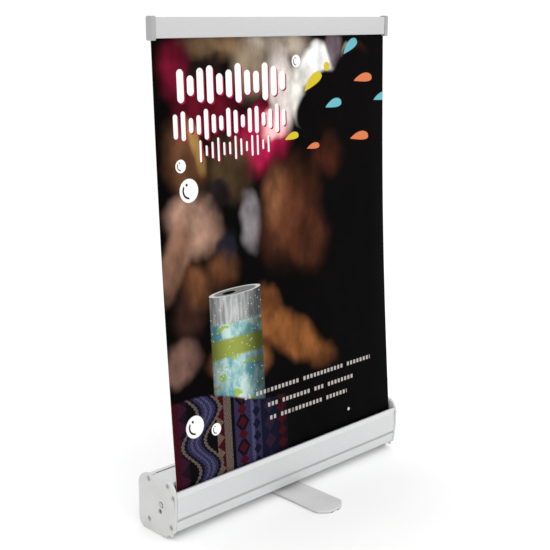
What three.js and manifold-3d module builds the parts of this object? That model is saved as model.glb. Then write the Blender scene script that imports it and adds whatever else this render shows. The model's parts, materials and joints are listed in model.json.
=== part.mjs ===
// Desktop roll-up banner stand: a spring cassette, its printed sheet, the top rail, the telescoping
// support pole behind the sheet and the swivelling foot.
//
// Millimetres, Z up, ground at Z = 0. X runs along the cassette, -Y is the side the banner is read
// from, and the origin lies on the ground under the middle of the cassette.
// An outline is a list of corners [across, up, radius], walked anticlockwise; a radius rounds the corner.

import * as THREE from "three";
import { mergeVertices } from "three/addons/utils/BufferGeometryUtils.js";
import Module from "manifold-3d";

const wasm = await Module();
wasm.setup();

// ------------------------------------------------------------------ driving dimensions

const GAP = 0.3; // left between neighbouring pieces
const LAP = 1; // how far a joined solid runs into its neighbour, or a cutting one runs past a face

// Printed sheet: a portrait A3 print, leaning back from the cassette's mouth to the top rail
const SHEET_WIDTH = 297;
const SHEET_THICKNESS = 0.4;
const SHEET_FOOT = { y: -22.6, z: 44 };
const SHEET_HEAD = { y: 1, z: 446.5 };

// Cassette
const CASSETTE_LENGTH = 311;
const CASSETTE_BACK = 24.2;
const CAP_THICKNESS = 3;
const CAP_PROUD = 1.2; // the caps stand this much above and behind the housing
const HOUSING_END = CASSETTE_LENGTH / 2 - CAP_THICKNESS - GAP;
const CLEAR_OF_FRONT = -35; // a place well in front of the cassette
const WALL = 2;
const UNDERSIDE = 4.2; // the housing's underside, which clears the foot plate
const LIP_HEIGHT = 48.2; // top of the front wall
const RIDGE_HEIGHT = 54.4; // top of the back ridge
const HOOD_HEIGHT = 56.6; // crest of the hood
const HOOD_FRONT = -19.6; // the hood's edge at the back of the mouth
const LIP_INSIDE = -25.2; // the lip's face at the front of the mouth
const GROOVE = { height: 20.8, width: 2.6, face: -27.3, depth: 1.1 }; // line along the front face

// Round ports inside the housing that take the end-cap screws, [y, z]
const SCREW_PORTS = [
  [-17.4, 52.4],
  [-25.4, 43],
  [-21.8, 13.4],
  [10.3, 11.2],
];
// Webs that tie the two low ports to the housing's floor, [y, bottom, top]
const PORT_WEBS = [
  [-21.8, 9, 12],
  [10.3, 5, 10],
];
const WEB_HALF = 0.9;
const PORT_RADIUS = 2.2;
const PORT_BORE = 1.5;
const CHANNEL = { y: 10.2, z: 51.4, radius: 2.8, bore: 1.7, mouth: 2.2 }; // open channel behind the hood
const SCREW = { head: 2.1, headHeight: 1.2, shank: 1.2, length: 12, sunk: 0.2 };
const RECESS = { arm: 1.3, half: 0.3, depth: 0.7 }; // cross in a screw's head

// End-cap details: the rim behind it, the hub round the spindle, the hole for the roller's lock pin
// and two bumps under the front edge, [front, back, bottom, top]
const CAP_RIM = 6;
const HUB = { wall: 1.6, depth: 0.7 };
const LOCK_PIN = { behindRoller: 1.5, belowRoller: 7, bore: 1.2, boss: 2.4, proud: 0.4 };
const CAP_BUMPS = [
  [-22.2, -19.6, 4.2, 9],
  [-15.4, -12.8, 1, 6],
];

// Spring roller, which lies inside the cassette
const ROLLER = { y: -7.5, z: 31 };
const TUBE_END = 149;
const TUBE_RADIUS = 9;
const TUBE_BORE = 7.8;
const WOUND_RADIUS = 10.8;
const SPINDLE_RADIUS = 2.6;
const PLUG_DEPTH = 12;
const FLANGE_THICKNESS = 1.3;
const SPRING = { from: -125, to: -42, turns: 22, radius: 5.2, wire: 0.6 };
const SHAFT_END = -22;
const SPINDLE_PROUD = 0.2; // the spindles end just outside the caps
const FIXED_COLLAR = { radius: 4.4, length: 6.5 };
const DRIVE_BUSH_LENGTH = 10;
const SPRING_CLEARANCE = 1.5;

// Top rail
const RAIL_LENGTH = 292;
const RAIL = { front: -3.2, back: 3.7, bottom: 445, top: 462.4 };
const RAIL_POCKET = { front: -1.8, back: 2.4, bottom: 446.6, top: 453.4 }; // holds the hem and its clamp
const RAIL_CAP_LENGTH = 4.4;
const RAIL_CAP_PROUD = 0.3;
const RAIL_CAP_RISE = 1; // the caps stand this much above the rail
const RAIL_CAP_DROP = 1.7; // and hang this much below it
const PLUG_REACH = 7; // how far a rail cap's plug reaches into the rail
const HOOK_CHANNEL = { front: -1.2, lipFront: 1.6, bottom: 455, lipBottom: 457.8, top: 461 };
const SHEET_SLOT_HALF = 0.6;

// Support pole: three telescoping tubes on one upright axis
const POLE_Y = 12.5;
const LOWER_TUBE = { radius: 4.5, bore: 3.9, from: 17.3, to: 170 };
const MIDDLE_TUBE = { radius: 3.6, bore: 3, from: 152, to: 305 };
const UPPER_TUBE = { radius: 2.7, bore: 1.7, from: 287, to: 452 };
const COLLAR_HEIGHT = 8;
const COLLAR_WALL = 0.9;
const COLLAR_TOP = 1.7; // thickness of the collar above the tube it sits on
const SOCKET = { radius: 6, rim: 7.2, bottom: 13.8, floor: 17, rimThickness: 1.4 };
const HOOK = { radius: 4, bottom: 443, top: 457.5, halfWidth: 5, armBottom: 455.3, tooth: 1.6 };

// Foot plate and its pivot
const FOOT_X = -3; // the pivot sits a little left of the middle
const FOOT = { halfWidth: 17.25, halfLength: 84.5, shoulder: 76, tip: 8, corner: 4, bottom: 0.8, top: 3.2 };
const PAD = { radius: 2.6, spread: 4.2, inset: 3 };
const BOLT = { head: 4.4, headHeight: 1.1, shank: 2.5, top: 10.5 };
const WASHER = { radius: 7.5, thickness: 0.4 };
const NUT = { radius: 4.6, height: 3.4 };

// ------------------------------------------------------------------ materials

function material(color, roughness, metalness) {
  return new THREE.MeshStandardMaterial({ color, roughness, metalness });
}

const anodised = () => material(0xd0d2d3, 0.42, 0.7);
const lightPlastic = () => material(0xd2d2d1, 0.5, 0);
const darkPlastic = () => material(0x2b2c2e, 0.55, 0);
const paintedSteel = () => material(0xcdcdcd, 0.45, 0.3);
const brightSteel = () => material(0xa9abad, 0.32, 1);
const springSteel = () => material(0x55585c, 0.4, 1);
const rubber = () => material(0x1d1d1e, 0.85, 0);
const print = () => material(0x3b2220, 0.45, 0);
const plainFilm = () => material(0xe4e4e0, 0.5, 0);

// ------------------------------------------------------------------ solids

// A closed three.js geometry as a manifold solid.
function solid(geometry) {
  const bare = geometry.index ? geometry.toNonIndexed() : geometry.clone();
  bare.deleteAttribute("normal");
  bare.deleteAttribute("uv");
  const merged = mergeVertices(bare, 1e-4);
  return new wasm.Manifold(
    new wasm.Mesh({
      numProp: 3,
      vertProperties: new Float32Array(merged.attributes.position.array),
      triVerts: new Uint32Array(merged.index.array),
    }),
  );
}

// A manifold solid as a three.js geometry.
function geometryOf(body) {
  const mesh = body.getMesh();
  const geometry = new THREE.BufferGeometry();
  geometry.setAttribute("position", new THREE.BufferAttribute(mesh.vertProperties, 3));
  geometry.setIndex(new THREE.BufferAttribute(mesh.triVerts, 1));
  geometry.computeVertexNormals();
  return geometry;
}

function union(bodies) {
  return bodies.reduce((sum, body) => sum.add(body));
}

function cut(body, tools) {
  return tools.reduce((rest, tool) => rest.subtract(tool), body);
}

function block(x0, x1, y0, y1, z0, z1) {
  const geometry = new THREE.BoxGeometry(x1 - x0, y1 - y0, z1 - z0);
  geometry.translate((x0 + x1) / 2, (y0 + y1) / 2, (z0 + z1) / 2);
  return solid(geometry);
}

// Round bar along X, whichever end is given first.
function rodX(radius, from, to, y, z, sides = 32) {
  const geometry = new THREE.CylinderGeometry(radius, radius, Math.abs(to - from), sides);
  geometry.rotateZ(Math.PI / 2);
  geometry.translate((from + to) / 2, y, z);
  return solid(geometry);
}

// Round bar along Z.
function rodZ(radius, from, to, x, y, sides = 32) {
  const geometry = new THREE.CylinderGeometry(radius, radius, to - from, sides);
  geometry.rotateX(Math.PI / 2);
  geometry.translate(x, y, (from + to) / 2);
  return solid(geometry);
}

// The two-dimensional neighbours of a corner in an outline.
function neighbours(corners, i) {
  const at = (k) => new THREE.Vector2(corners.at(k)[0], corners.at(k)[1]);
  return [at(i - 1), at(i), at((i + 1) % corners.length)];
}

// Points along an outline, with an arc at each corner that has a radius.
function rounded(corners, arcStep = Math.PI / 14) {
  return corners.flatMap(([, , radius], i) => {
    const [before, corner, after] = neighbours(corners, i);
    if (!radius) return [corner];
    const back = before.sub(corner).normalize();
    const ahead = after.sub(corner).normalize();
    const half = Math.acos(back.dot(ahead)) / 2;
    const middle = back.clone().add(ahead).normalize();
    const centre = corner.clone().addScaledVector(middle, radius / Math.sin(half));
    const start = corner.clone().addScaledVector(back, radius / Math.tan(half)).sub(centre);
    const end = corner.clone().addScaledVector(ahead, radius / Math.tan(half)).sub(centre);
    const sweep = Math.atan2(start.cross(end), start.dot(end));
    const steps = Math.max(2, Math.ceil(Math.abs(sweep) / arcStep));
    return Array.from({ length: steps + 1 }, (_, k) =>
      start.clone().rotateAround(new THREE.Vector2(), (sweep * k) / steps).add(centre),
    );
  });
}

// The same outline moved inwards by a distance, or outwards by a negative one.
function inset(corners, distance) {
  return corners.map(([, , radius], i) => {
    const [before, corner, after] = neighbours(corners, i);
    const arriving = corner.clone().sub(before).normalize();
    const leaving = after.clone().sub(corner).normalize();
    const inwards = [arriving, leaving].map((d) => new THREE.Vector2(-d.y, d.x));
    const reach = distance / (1 + inwards[0].dot(inwards[1]));
    const moved = corner.clone().addScaledVector(inwards[0], reach).addScaledVector(inwards[1], reach);
    const tighter = radius - Math.sign(arriving.cross(leaving)) * distance;
    return [moved.x, moved.y, radius ? Math.max(tighter, GAP) : 0];
  });
}

// Prism along X from points in the (Y, Z) plane.
function alongX(points, from, to) {
  const geometry = new THREE.ExtrudeGeometry(new THREE.Shape(points), {
    depth: to - from,
    bevelEnabled: false,
  });
  const axes = [new THREE.Vector3(0, 1, 0), new THREE.Vector3(0, 0, 1), new THREE.Vector3(1, 0, 0)];
  geometry.applyMatrix4(new THREE.Matrix4().makeBasis(...axes));
  geometry.translate(from, 0, 0);
  return solid(geometry);
}

// Prism along Z from points in the (X, Y) plane.
function alongZ(points, from, to) {
  const geometry = new THREE.ExtrudeGeometry(new THREE.Shape(points), {
    depth: to - from,
    bevelEnabled: false,
  });
  geometry.translate(0, 0, from);
  return solid(geometry);
}

// ------------------------------------------------------------------ assembly

const stand = new THREE.Group();
stand.name = "roll_up_banner_stand";

function group(name) {
  const made = new THREE.Group();
  made.name = name;
  stand.add(made);
  return made;
}

const cassette = group("cassette");
const roller = group("roller");
const banner = group("banner");
const topRail = group("top_rail_group");
const pole = group("pole");
const foot = group("foot");

function place(parent, name, body, finish) {
  const mesh = new THREE.Mesh(geometryOf(body), finish);
  mesh.name = name;
  parent.add(mesh);
}

// ------------------------------------------------------------------ cassette housing and end caps

// Walks from the front of the underside round the back and over the ridge and the hood.
const housingOutline = [
  [-25.2, 9.2, 1.5],
  [-10, UNDERSIDE, 3],
  [CASSETTE_BACK, UNDERSIDE, 9],
  [CASSETTE_BACK, RIDGE_HEIGHT, 12],
  [9.2, 53.9, 0],
  [-14, HOOD_HEIGHT, 12],
  [HOOD_FRONT, 55.8, 1.5],
  [-27, LIP_HEIGHT, 0.6],
  [-28.7, 30, 100],
];

// The cap follows the housing but comes down to the ground, and closes the end of the mouth.
const capOutline = [
  [-25.6, 8.8, 1.5],
  [-10.5, 0, 3],
  [CASSETTE_BACK + CAP_PROUD, 0, 9],
  [CASSETTE_BACK + CAP_PROUD, RIDGE_HEIGHT + CAP_PROUD, 13],
  [9, RIDGE_HEIGHT + CAP_PROUD, 2],
  [6.5, 54.8, 1.5],
  [-14, HOOD_HEIGHT + CAP_PROUD, 12],
  [-21, 56.6, 2.4],
  [-24.8, 53.4, 1.5],
  [-27.3, LIP_HEIGHT + GAP, 0.8],
  [-29, 30, 100],
];

// The open middle of the rim behind each cap, clear of the roll and of the sheet on its way out.
const rimWindow = [
  [-24.2, 12.6, 3],
  [-9, 8.6, 3],
  [19.2, 8.6, 6],
  [19.2, 44, 6],
  [-24.2, 44, 0],
];

const allPorts = [...SCREW_PORTS, [CHANNEL.y, CHANNEL.z]];

// The opening between lip and hood that the sheet comes out of, drawn past every edge it cuts.
function mouthCut() {
  const above = 70;
  const below = 40;
  const points = [
    [CLEAR_OF_FRONT, LIP_HEIGHT],
    [LIP_INSIDE, LIP_HEIGHT],
    [LIP_INSIDE, below],
    [HOOD_FRONT, below],
    [HOOD_FRONT, above],
    [CLEAR_OF_FRONT, above],
  ];
  return alongX(
    points.map(([y, z]) => new THREE.Vector2(y, z)),
    -HOUSING_END - LAP,
    HOUSING_END + LAP,
  );
}

function cassetteHousing() {
  const ends = [-HOUSING_END, HOUSING_END];
  const past = [-HOUSING_END - LAP, HOUSING_END + LAP];
  const shell = cut(alongX(rounded(housingOutline), ...ends), [
    alongX(rounded(inset(housingOutline, WALL)), ...past),
    mouthCut(),
  ]);
  const ports = SCREW_PORTS.map(([y, z]) => rodX(PORT_RADIUS, ...ends, y, z, 20));
  const webs = PORT_WEBS.map(([y, z0, z1]) => block(...ends, y - WEB_HALF, y + WEB_HALF, z0, z1));
  const channel = rodX(CHANNEL.radius, ...ends, CHANNEL.y, CHANNEL.z, 24);
  const bores = SCREW_PORTS.map(([y, z]) => rodX(PORT_BORE, ...past, y, z, 16));
  const channelMouth = CHANNEL.mouth / 2;
  const grooveBottom = GROOVE.height - GROOVE.width / 2;
  const grooveFloor = GROOVE.face + GROOVE.depth;
  const underChannel = CHANNEL.z - 2 * CHANNEL.radius;
  return cut(union([shell, ...ports, ...webs, channel]), [
    ...bores,
    rodX(CHANNEL.bore, ...past, CHANNEL.y, CHANNEL.z, 16),
    block(...past, CHANNEL.y - channelMouth, CHANNEL.y + channelMouth, CHANNEL.z, RIDGE_HEIGHT + LAP),
    block(...past, CLEAR_OF_FRONT, grooveFloor, grooveBottom, grooveBottom + GROOVE.width),
    rodZ(SOCKET.radius + 2 * GAP, underChannel, HOOD_HEIGHT + LAP, 0, POLE_Y),
    rodZ(BOLT.shank + 2 * GAP, 0, UNDERSIDE + WALL + LAP, FOOT_X, 0, 24),
  ]);
}

// The cap at the +X end (side 1) or the -X end (side -1).
function endCap(side) {
  const inner = HOUSING_END + GAP;
  const outer = inner + CAP_THICKNESS;
  const rimEnd = inner - CAP_RIM;
  const span = (from, to) => (side > 0 ? [from, to] : [-to, -from]);
  const rimCut = span(rimEnd - LAP, inner);
  const mouthSide = { front: -40, back: -13, bottom: 38, top: 70 };

  const plate = alongX(rounded(capOutline), ...span(inner, outer));
  const rim = cut(alongX(rounded(inset(housingOutline, WALL + GAP)), ...span(rimEnd, inner)), [
    alongX(rounded(rimWindow), ...rimCut),
    block(...rimCut, mouthSide.front, mouthSide.back, mouthSide.bottom, mouthSide.top),
    ...SCREW_PORTS.map(([y, z]) => rodX(PORT_RADIUS + GAP, ...rimCut, y, z, 20)),
    ...PORT_WEBS.map(([y, z0, z1]) =>
      block(...rimCut, y - WEB_HALF - GAP, y + WEB_HALF + GAP, z0, z1),
    ),
    rodX(CHANNEL.radius + GAP, ...rimCut, CHANNEL.y, CHANNEL.z, 24),
  ]);
  const tongueHalf = CHANNEL.mouth / 2 - GAP;
  const tongue = block(
    ...span(rimEnd, inner + LAP),
    CHANNEL.y - tongueHalf,
    CHANNEL.y + tongueHalf,
    CHANNEL.z + CHANNEL.bore,
    CHANNEL.z + CHANNEL.radius,
  );
  const hub = rodX(
    SPINDLE_RADIUS + HUB.wall,
    ...span(inner - HUB.depth, inner + LAP),
    ROLLER.y,
    ROLLER.z,
    24,
  );
  const pinHole = [ROLLER.y + LOCK_PIN.behindRoller, ROLLER.z - LOCK_PIN.belowRoller];
  const pinBoss = rodX(LOCK_PIN.boss, ...span(outer - LAP, outer + LOCK_PIN.proud), ...pinHole, 20);
  const bumps = CAP_BUMPS.map((edges) => block(...span(inner, outer), ...edges));
  const headSeat = outer - SCREW.headHeight - SCREW.sunk - GAP;
  const screwHoles = allPorts.flatMap(([y, z]) => [
    rodX(SCREW.shank + GAP, ...span(rimEnd, outer + LAP), y, z, 16),
    rodX(SCREW.head + GAP, ...span(headSeat, outer + LAP), y, z, 20),
  ]);
  return cut(union([plate, rim, tongue, hub, pinBoss, ...bumps]), [
    ...screwHoles,
    rodX(SPINDLE_RADIUS + GAP, ...span(rimEnd, outer + LAP), ROLLER.y, ROLLER.z, 24),
    rodX(LOCK_PIN.bore, ...span(inner - LAP, outer + LAP), ...pinHole, 14),
  ]);
}

// A cross-head screw that holds an end cap, its head sunk just below the cap's face.
function capScrew(side, y, z) {
  const face = CASSETTE_LENGTH / 2 - SCREW.sunk;
  const span = (from, to) => (side > 0 ? [from, to] : [-to, -from]);
  const head = rodX(SCREW.head, ...span(face - SCREW.headHeight, face), y, z, 20);
  const shank = rodX(SCREW.shank, ...span(face - SCREW.length, face - SCREW.headHeight / 2), y, z, 14);
  const deep = span(face - RECESS.depth, face + LAP);
  return cut(head.add(shank), [
    block(...deep, y - RECESS.arm, y + RECESS.arm, z - RECESS.half, z + RECESS.half),
    block(...deep, y - RECESS.half, y + RECESS.half, z - RECESS.arm, z + RECESS.arm),
  ]);
}

place(cassette, "cassette_housing", cassetteHousing(), anodised());
for (const [word, side] of [["left", -1], ["right", 1]]) {
  place(cassette, `${word}_end_cap`, endCap(side), lightPlastic());
  allPorts.forEach(([y, z], i) => {
    place(cassette, `${word}_cap_screw_${i + 1}`, capScrew(side, y, z), brightSteel());
  });
}

// ------------------------------------------------------------------ spring roller

// An end plug: it fills the tube's end and its flange closes the tube.
function tubePlug(side) {
  const face = TUBE_END + GAP;
  const span = (from, to) => (side > 0 ? [from, to] : [-to, -from]);
  const body = rodX(TUBE_BORE - GAP, ...span(face - PLUG_DEPTH, face + LAP), ROLLER.y, ROLLER.z);
  const flange = rodX(TUBE_RADIUS, ...span(face, face + FLANGE_THICKNESS), ROLLER.y, ROLLER.z);
  const bore = rodX(SPINDLE_RADIUS + GAP, ...span(0, CASSETTE_LENGTH), ROLLER.y, ROLLER.z, 24);
  return body.add(flange).subtract(bore);
}

function ringX(radius, bore, from, to) {
  const ring = rodX(radius, from, to, ROLLER.y, ROLLER.z);
  return ring.subtract(rodX(bore, from - LAP, to + LAP, ROLLER.y, ROLLER.z));
}

// Coils of the spring as one round wire swept along a helix.
class CoilPath extends THREE.Curve {
  getPoint(t, target = new THREE.Vector3()) {
    const angle = 2 * Math.PI * SPRING.turns * t;
    return target.set(
      SPRING.from + (SPRING.to - SPRING.from) * t,
      ROLLER.y + SPRING.radius * Math.cos(angle),
      ROLLER.z + SPRING.radius * Math.sin(angle),
    );
  }
}

function torsionSpring() {
  const wire = new THREE.Shape();
  wire.absarc(0, 0, SPRING.wire, 0, 2 * Math.PI);
  const geometry = new THREE.ExtrudeGeometry(wire, {
    steps: SPRING.turns * 12,
    curveSegments: 3,
    extrudePath: new CoilPath(),
  });
  return solid(geometry);
}

// The turns of sheet still on the tube: a sleeve whose outside is one turn of a spiral.
function woundSheet() {
  const steps = 48;
  const outside = Array.from({ length: steps }, (_, i) => {
    const turn = i / (steps - 1);
    const angle = Math.PI + 2 * Math.PI * turn * (1 - 1 / steps);
    const radius = WOUND_RADIUS - SHEET_THICKNESS * turn;
    return new THREE.Vector2(ROLLER.y + radius * Math.cos(angle), ROLLER.z + radius * Math.sin(angle));
  });
  const half = SHEET_WIDTH / 2;
  return alongX(outside, -half, half).subtract(
    rodX(TUBE_RADIUS + GAP, -half - LAP, half + LAP, ROLLER.y, ROLLER.z, 40),
  );
}

const shaftFace = CASSETTE_LENGTH / 2 + SPINDLE_PROUD;
const collarFace = SPRING.from - SPRING_CLEARANCE;
const bushFace = SPRING.to + SPRING_CLEARANCE;
place(roller, "roller_tube", ringX(TUBE_RADIUS, TUBE_BORE, -TUBE_END, TUBE_END), anodised());
place(roller, "left_tube_plug", tubePlug(-1), darkPlastic());
place(roller, "right_tube_plug", tubePlug(1), darkPlastic());
place(roller, "wound_sheet", woundSheet(), plainFilm());
place(roller, "torsion_spring", torsionSpring(), springSteel());
place(
  roller,
  "spring_shaft",
  rodX(SPINDLE_RADIUS, -shaftFace, SHAFT_END, ROLLER.y, ROLLER.z, 24),
  brightSteel(),
);
place(
  roller,
  "right_spindle",
  rodX(SPINDLE_RADIUS, TUBE_END - PLUG_DEPTH, shaftFace, ROLLER.y, ROLLER.z, 24),
  brightSteel(),
);
place(
  roller,
  "spring_fixed_collar",
  ringX(FIXED_COLLAR.radius, SPINDLE_RADIUS + GAP, collarFace - FIXED_COLLAR.length, collarFace),
  darkPlastic(),
);
place(
  roller,
  "spring_drive_bush",
  ringX(TUBE_BORE - GAP, SPINDLE_RADIUS + GAP, bushFace, bushFace + DRIVE_BUSH_LENGTH),
  darkPlastic(),
);

// ------------------------------------------------------------------ printed sheet

// A flat strip of sheet between two points of the (Y, Z) plane.
function sheetStrip(bottom, top, halfWidth) {
  const half = SHEET_THICKNESS / 2;
  const points = [
    new THREE.Vector2(bottom.y - half, bottom.z),
    new THREE.Vector2(bottom.y + half, bottom.z),
    new THREE.Vector2(top.y + half, top.z),
    new THREE.Vector2(top.y - half, top.z),
  ];
  return alongX(points, -halfWidth, halfWidth);
}

// Where a straight run of sheet from a point above meets the front of the wound roll.
function rollTangent(from) {
  const radius = WOUND_RADIUS + GAP + SHEET_THICKNESS / 2;
  const centre = new THREE.Vector2(ROLLER.y, ROLLER.z);
  const away = new THREE.Vector2(from.y, from.z).sub(centre);
  const opening = Math.acos(radius / away.length());
  const direction = away.clone().normalize().rotateAround(new THREE.Vector2(), opening);
  const touch = centre.addScaledVector(direction, radius);
  return { y: touch.x, z: touch.y };
}

const leaderTop = { y: SHEET_FOOT.y, z: SHEET_FOOT.z - GAP };
const hemBottom = { y: SHEET_HEAD.y, z: SHEET_HEAD.z + GAP };
const hemTop = { y: SHEET_HEAD.y, z: RAIL_POCKET.top - 2 * GAP };
const hemHalfWidth = RAIL_LENGTH / 2 - PLUG_REACH - 2 * GAP;

place(banner, "banner_sheet", sheetStrip(SHEET_FOOT, SHEET_HEAD, SHEET_WIDTH / 2), print());
place(
  banner,
  "banner_leader",
  sheetStrip(rollTangent(leaderTop), leaderTop, SHEET_WIDTH / 2),
  plainFilm(),
);
place(banner, "banner_hem", sheetStrip(hemBottom, hemTop, hemHalfWidth), plainFilm());

// ------------------------------------------------------------------ top rail

// The slot the sheet enters by, at the underside of the rail and its caps.
function sheetSlot(halfLength) {
  return block(
    -halfLength,
    halfLength,
    SHEET_HEAD.y - SHEET_SLOT_HALF,
    SHEET_HEAD.y + SHEET_SLOT_HALF,
    RAIL.bottom - RAIL_CAP_DROP - LAP,
    RAIL_POCKET.bottom + LAP,
  );
}

function railExtrusion() {
  const end = RAIL_LENGTH / 2;
  const corners = [
    [RAIL.front, RAIL.bottom, 0.8],
    [RAIL.back, RAIL.bottom, 1.2],
    [RAIL.back, RAIL.top, 1.6],
    [RAIL.front, RAIL.top, 0.8],
  ];
  const past = [-end - LAP, end + LAP];
  const pocket = RAIL_POCKET;
  const channel = HOOK_CHANNEL;
  return cut(alongX(rounded(corners, Math.PI / 8), -end, end), [
    block(...past, pocket.front, pocket.back, pocket.bottom, pocket.top),
    sheetSlot(end + LAP),
    block(...past, channel.front, channel.lipFront, channel.bottom, channel.top),
    block(...past, channel.front, RAIL.back + LAP, channel.bottom, channel.lipBottom),
  ]);
}

function railCap(side) {
  const inner = RAIL_LENGTH / 2 + GAP;
  const outer = inner + RAIL_CAP_LENGTH;
  const span = (from, to) => (side > 0 ? [from, to] : [-to, -from]);
  const corners = [
    [RAIL.front - RAIL_CAP_PROUD, RAIL.bottom - RAIL_CAP_DROP, 1],
    [RAIL.back + RAIL_CAP_PROUD, RAIL.bottom - RAIL_CAP_DROP, 1.5],
    [RAIL.back + RAIL_CAP_PROUD, RAIL.top + RAIL_CAP_RISE, 2],
    [RAIL.front - RAIL_CAP_PROUD, RAIL.top + RAIL_CAP_RISE, 1],
  ];
  const shell = alongX(rounded(corners, Math.PI / 8), ...span(inner, outer));
  const plug = block(
    ...span(inner - PLUG_REACH, inner + LAP),
    RAIL_POCKET.front + GAP,
    RAIL_POCKET.back - GAP,
    RAIL_POCKET.bottom + 2 * GAP,
    RAIL_POCKET.top - GAP,
  );
  return shell.add(plug).subtract(sheetSlot(SHEET_WIDTH / 2 + 2 * GAP));
}

// The strip that wedges the hem against the back of the rail's pocket.
function clampStrip() {
  return block(
    -hemHalfWidth,
    hemHalfWidth,
    RAIL_POCKET.front + GAP,
    SHEET_HEAD.y - SHEET_THICKNESS / 2 - GAP,
    RAIL_POCKET.bottom + 2 * GAP,
    RAIL_POCKET.top - 2 * GAP,
  );
}

place(topRail, "top_rail", railExtrusion(), anodised());
place(topRail, "left_rail_cap", railCap(-1), lightPlastic());
place(topRail, "right_rail_cap", railCap(1), lightPlastic());
place(topRail, "hem_clamp_strip", clampStrip(), darkPlastic());

// ------------------------------------------------------------------ support pole

function poleTube({ radius, bore, from, to }) {
  return rodZ(radius, from, to, 0, POLE_Y, 28).subtract(
    rodZ(bore, from - LAP, to + LAP, 0, POLE_Y, 24),
  );
}

// A collar capping one tube, with a hole that guides the thinner tube inside it.
function poleCollar(outerTube, innerTube) {
  const bottom = outerTube.to - COLLAR_HEIGHT;
  const seat = outerTube.to + GAP;
  const top = seat + COLLAR_TOP;
  const round = outerTube.radius + GAP + COLLAR_WALL;
  return cut(rodZ(round, bottom, top, 0, POLE_Y, 28), [
    rodZ(outerTube.radius + GAP, bottom - LAP, seat, 0, POLE_Y, 28),
    rodZ(innerTube.radius + GAP, seat - LAP, top + LAP, 0, POLE_Y, 24),
  ]);
}

function poleSocket() {
  const rimBottom = RIDGE_HEIGHT + GAP;
  const rimTop = rimBottom + SOCKET.rimThickness;
  const body = rodZ(SOCKET.radius, SOCKET.bottom, rimTop, 0, POLE_Y, 36);
  const rim = rodZ(SOCKET.rim, rimBottom, rimTop, 0, POLE_Y, 36);
  return body.add(rim).subtract(
    rodZ(LOWER_TUBE.radius + GAP, SOCKET.floor, rimTop + LAP, 0, POLE_Y, 28),
  );
}

// The hook: a sleeve on the upper tube, an arm into the rail's channel, and a tooth that carries the rail.
function poleHook() {
  const front = HOOK_CHANNEL.front + GAP;
  const sleeve = rodZ(HOOK.radius, HOOK.bottom, HOOK.top, 0, POLE_Y, 28);
  const arm = block(-HOOK.halfWidth, HOOK.halfWidth, front, POLE_Y, HOOK.armBottom, HOOK.top);
  const tooth = block(
    -HOOK.halfWidth,
    HOOK.halfWidth,
    front,
    front + HOOK.tooth,
    HOOK.armBottom,
    HOOK_CHANNEL.top - GAP,
  );
  return union([sleeve, arm, tooth]).subtract(
    rodZ(UPPER_TUBE.radius + GAP, HOOK.bottom - LAP, UPPER_TUBE.to + GAP, 0, POLE_Y, 24),
  );
}

place(pole, "pole_socket", poleSocket(), darkPlastic());
place(pole, "lower_pole_tube", poleTube(LOWER_TUBE), anodised());
place(pole, "lower_pole_collar", poleCollar(LOWER_TUBE, MIDDLE_TUBE), darkPlastic());
place(pole, "middle_pole_tube", poleTube(MIDDLE_TUBE), anodised());
place(pole, "middle_pole_collar", poleCollar(MIDDLE_TUBE, UPPER_TUBE), darkPlastic());
place(pole, "upper_pole_tube", poleTube(UPPER_TUBE), anodised());
place(pole, "pole_hook", poleHook(), darkPlastic());

// ------------------------------------------------------------------ foot

// A flat bar, clipped at both ends, turned square to the cassette.
function footPlate() {
  const right = FOOT_X + FOOT.halfWidth;
  const left = FOOT_X - FOOT.halfWidth;
  const corners = [
    [FOOT_X - FOOT.tip, -FOOT.halfLength, FOOT.corner],
    [FOOT_X + FOOT.tip, -FOOT.halfLength, FOOT.corner],
    [right, -FOOT.shoulder, FOOT.corner],
    [right, FOOT.shoulder, FOOT.corner],
    [FOOT_X + FOOT.tip, FOOT.halfLength, FOOT.corner],
    [FOOT_X - FOOT.tip, FOOT.halfLength, FOOT.corner],
    [left, FOOT.shoulder, FOOT.corner],
    [left, -FOOT.shoulder, FOOT.corner],
  ];
  const headSeat = FOOT.bottom + BOLT.headHeight + 2 * GAP;
  return cut(alongZ(rounded(corners, Math.PI / 10), FOOT.bottom, FOOT.top), [
    rodZ(BOLT.shank + GAP, 0, FOOT.top + LAP, FOOT_X, 0, 24),
    rodZ(BOLT.head + GAP, 0, headSeat, FOOT_X, 0, 24),
  ]);
}

function pivotBolt() {
  const headBottom = FOOT.bottom + GAP / 2;
  const headTop = headBottom + BOLT.headHeight;
  const head = rodZ(BOLT.head, headBottom, headTop, FOOT_X, 0, 24);
  return head.add(rodZ(BOLT.shank, headTop - GAP, BOLT.top, FOOT_X, 0, 20));
}

function pivotWasher() {
  const bottom = FOOT.top + GAP;
  const disc = rodZ(WASHER.radius, bottom, bottom + WASHER.thickness, FOOT_X, 0);
  return disc.subtract(rodZ(BOLT.shank + GAP, bottom - LAP, bottom + 2 * LAP, FOOT_X, 0, 24));
}

function pivotNut() {
  const bottom = UNDERSIDE + WALL + GAP;
  const hexagon = rodZ(NUT.radius, bottom, bottom + NUT.height, FOOT_X, 0, 6);
  return hexagon.subtract(
    rodZ(BOLT.shank + GAP, bottom - LAP, bottom + NUT.height + LAP, FOOT_X, 0, 20),
  );
}

place(foot, "foot_plate", footPlate(), paintedSteel());
place(foot, "foot_pivot_bolt", pivotBolt(), brightSteel());
place(foot, "foot_pivot_washer", pivotWasher(), brightSteel());
place(foot, "foot_pivot_nut", pivotNut(), brightSteel());
for (const [end, way] of [["front", -1], ["back", 1]]) {
  for (const [hand, side] of [["left", -1], ["right", 1]]) {
    const x = FOOT_X + side * PAD.spread;
    const y = way * (FOOT.halfLength - PAD.inset);
    place(foot, `foot_pad_${end}_${hand}`, rodZ(PAD.radius, 0, FOOT.bottom - GAP, x, y, 20), rubber());
  }
}

export default stand;
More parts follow.
